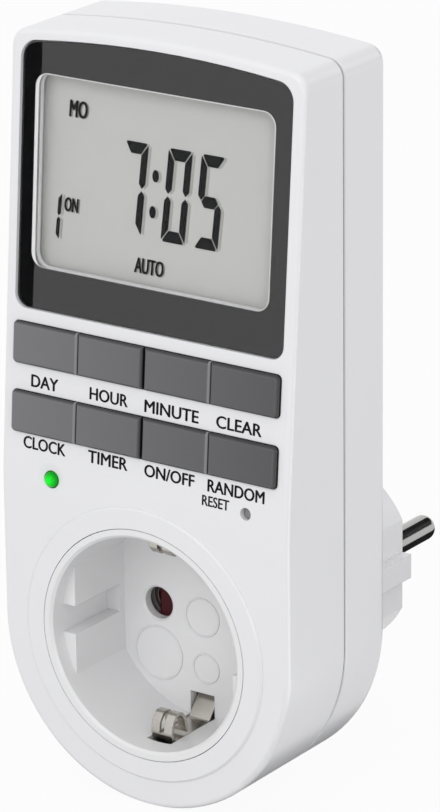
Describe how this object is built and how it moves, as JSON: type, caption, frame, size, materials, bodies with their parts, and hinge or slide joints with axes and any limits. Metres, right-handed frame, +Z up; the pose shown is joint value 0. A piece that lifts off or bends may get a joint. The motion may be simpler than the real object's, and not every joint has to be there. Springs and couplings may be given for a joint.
{
  "type": "digital timer switch",
  "caption": "Plug-in digital timer switch: leaning display and key face above an earthed outlet, pin plug behind, keys and child guard that move.",
  "frame": {"origin": "middle of the plug's pin face, between the two pins, where the plug meets the wall outlet", "axes": "+Y into the wall along the pins, +Z up, +X to the right of someone facing the display"},
  "size_m": [0.0608, 0.0784, 0.1376],
  "materials": {
    "case_plastic": "fine satin white ABS",
    "cup_plastic": "smooth white thermoset",
    "lens": "clear acrylic with a black printed mask",
    "holder_plastic": "moulded",
    "display_glass": "reflective display cell",
    "zebra_rubber": "striped silicone",
    "foam": "closed-cell foam",
    "board_laminate": "glass-fibre laminate with green solder mask",
    "zinc_steel": "zinc plated",
    "chip_package": "moulded epoxy",
    "crystal_can": "drawn metal can",
    "switch_plastic": "moulded",
    "reset_plastic": "moulded",
    "plunger_plastic": "moulded",
    "lamp_epoxy": "green tinted epoxy dome",
    "tinned_lead": "tinned",
    "shutter_plastic": "dark red moulding",
    "block_plastic": "heat-resistant moulding",
    "contact_brass": "stamped",
    "nickel_pin": "nickel-plated brass, polished",
    "nickel_strap": "nickel-plated spring strip",
    "bar_copper": "stamped copper alloy",
    "relay_plastic": "moulded housing",
    "capacitor_plastic": "moulded box",
    "resistor_coat": "cement coat",
    "varistor_coat": "epoxy dip",
    "diode_epoxy": "moulded epoxy",
    "capacitor_sleeve": "shrink sleeve",
    "battery_sleeve": "shrink sleeve",
    "link_plastic": "moulded header with tinned pins",
    "key_plastic": "grey satin moulding"
  },
  "bodies": {
    "case": {"front_cover": "case_plastic", "rear_cover": "case_plastic", "socket_cup": "cup_plastic", "display_lens": "lens", "lcd_holder": "holder_plastic", "lcd_front_glass": "display_glass", "lcd_rear_glass": "display_glass", "zebra_strip": "zebra_rubber", "lcd_cushion": "foam", "control_board": "board_laminate", "control_board_screws": "zinc_steel", "controller_chip": "chip_package", "crystal": "crystal_can", "switch_bodies": "switch_plastic", "led_lamp": "lamp_epoxy", "led_leads": "tinned_lead", "contact_block": "block_plastic", "socket_screws": "zinc_steel", "line_contact": "contact_brass", "neutral_contact": "contact_brass", "line_pin": "nickel_pin", "neutral_pin": "nickel_pin", "pin_carrier": "block_plastic", "earth_strap_lower": "nickel_strap", "earth_strap_upper": "nickel_strap", "earth_bridge": "nickel_strap", "line_feed_bar": "bar_copper", "line_out_bar": "bar_copper", "neutral_bar": "bar_copper", "power_board": "board_laminate", "power_board_screws": "zinc_steel", "relay": "relay_plastic", "x2_capacitor": "capacitor_plastic", "dropper_resistor": "resistor_coat", "varistor": "varistor_coat", "rectifier_diodes": "diode_epoxy", "smoothing_capacitor": "capacitor_sleeve", "backup_battery": "battery_sleeve", "board_link": "link_plastic", "cover_screws": "zinc_steel"},
    "day_key": {"key_day": "key_plastic", "plunger_day": "plunger_plastic"},
    "hour_key": {"key_hour": "key_plastic", "plunger_hour": "plunger_plastic"},
    "minute_key": {"key_minute": "key_plastic", "plunger_minute": "plunger_plastic"},
    "clear_key": {"key_clear": "key_plastic", "plunger_clear": "plunger_plastic"},
    "clock_key": {"key_clock": "key_plastic", "plunger_clock": "plunger_plastic"},
    "timer_key": {"key_timer": "key_plastic", "plunger_timer": "plunger_plastic"},
    "mode_key": {"key_mode": "key_plastic", "plunger_mode": "plunger_plastic"},
    "random_key": {"key_random": "key_plastic", "plunger_random": "plunger_plastic"},
    "reset_key": {"reset_button": "reset_plastic", "reset_plunger": "plunger_plastic"},
    "child_guard": {"shutter": "shutter_plastic"}
  },
  "joints": [
    {"name": "day_press", "type": "slide", "parent": "case", "child": "day_key", "axis": [0, 0.9966, -0.0819], "range_m": [0, 0.0004], "stiffness_N_per_m": 2000, "springref_m": -0.0002},
    {"name": "hour_press", "type": "slide", "parent": "case", "child": "hour_key", "axis": [0, 0.9966, -0.0819], "range_m": [0, 0.0004], "stiffness_N_per_m": 2000, "springref_m": -0.0002},
    {"name": "minute_press", "type": "slide", "parent": "case", "child": "minute_key", "axis": [0, 0.9966, -0.0819], "range_m": [0, 0.0004], "stiffness_N_per_m": 2000, "springref_m": -0.0002},
    {"name": "clear_press", "type": "slide", "parent": "case", "child": "clear_key", "axis": [0, 0.9966, -0.0819], "range_m": [0, 0.0004], "stiffness_N_per_m": 2000, "springref_m": -0.0002},
    {"name": "clock_press", "type": "slide", "parent": "case", "child": "clock_key", "axis": [0, 0.9966, -0.0819], "range_m": [0, 0.0004], "stiffness_N_per_m": 2000, "springref_m": -0.0002},
    {"name": "timer_press", "type": "slide", "parent": "case", "child": "timer_key", "axis": [0, 0.9966, -0.0819], "range_m": [0, 0.0004], "stiffness_N_per_m": 2000, "springref_m": -0.0002},
    {"name": "mode_press", "type": "slide", "parent": "case", "child": "mode_key", "axis": [0, 0.9966, -0.0819], "range_m": [0, 0.0004], "stiffness_N_per_m": 2000, "springref_m": -0.0002},
    {"name": "random_press", "type": "slide", "parent": "case", "child": "random_key", "axis": [0, 0.9966, -0.0819], "range_m": [0, 0.0004], "stiffness_N_per_m": 2000, "springref_m": -0.0002},
    {"name": "reset_press", "type": "slide", "parent": "case", "child": "reset_key", "axis": [0, 0.9966, -0.0819], "range_m": [0, 0.0004], "stiffness_N_per_m": 2000, "springref_m": -0.0002},
    {"name": "guard_slide", "type": "slide", "parent": "case", "child": "child_guard", "axis": [1, 0, 0], "range_m": [0, 0.0047], "stiffness_N_per_m": 200, "springref_m": -0.003}
  ]
}
